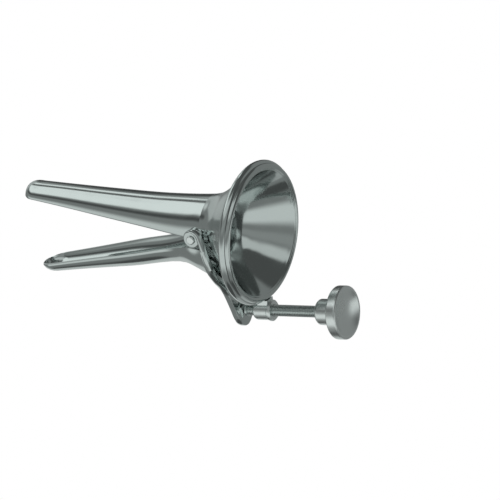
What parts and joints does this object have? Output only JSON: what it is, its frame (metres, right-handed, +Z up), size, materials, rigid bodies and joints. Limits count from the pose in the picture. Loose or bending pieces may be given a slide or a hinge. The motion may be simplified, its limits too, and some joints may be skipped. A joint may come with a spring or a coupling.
{
  "type": "bivalve speculum",
  "caption": "Small self-retaining bivalve speculum: funnel mouth with a fixed upper blade, and a hinged lower blade that a thumb screw under the rim opens and closes.",
  "frame": {"origin": "centre of the funnel mouth's rolled rim, in the plane of the rim's middle", "axes": "+X out of the mouth towards the user, -X towards the blade tips, +Y along the hinge axis towards the instrument's right as seen from the tips, +Z up with the screw underneath"},
  "size_m": [0.0955, 0.037, 0.0456],
  "materials": {
    "polished_steel": "mirror polish with fine wear",
    "turned_steel": "turned and lightly polished",
    "drawn_wire": "drawn"
  },
  "bodies": {
    "fixed_valve": {"funnel": "polished_steel", "rim_wire": "drawn_wire", "upper_blade": "polished_steel", "screw_boss": "turned_steel", "hinge_rivet_left": "turned_steel", "hinge_rivet_right": "turned_steel"},
    "lower_valve": {"lower_blade": "polished_steel", "yoke": "polished_steel"},
    "screw_carrier": {"thrust_washer": "turned_steel"},
    "thumb_screw": {"screw_rod": "turned_steel", "tip_button": "turned_steel", "thumb_knob": "turned_steel"}
  },
  "joints": [
    {"name": "valve_hinge", "type": "hinge", "parent": "fixed_valve", "child": "lower_valve", "pos_m": [-0.0142, 0, 0.0006], "axis": [0, 1, 0], "range_deg": [-3.04, 19.74]},
    {"name": "screw_travel", "type": "slide", "parent": "fixed_valve", "child": "screw_carrier", "axis": [-0.9925, 0, -0.1219], "range_m": [-0.00125, 0.00824]},
    {"name": "screw_turn", "type": "hinge", "parent": "screw_carrier", "child": "thumb_screw", "pos_m": [0, 0, -0.0217], "axis": [-0.9925, 0, -0.1219], "range_deg": [-905, 5940]}
  ],
  "couplings": [
    {"joint": "screw_turn", "follows": "screw_travel", "rad_per_m": 12566},
    {"joint": "valve_hinge", "follows": "screw_travel", "rad_per_m": 41.734}
  ]
}
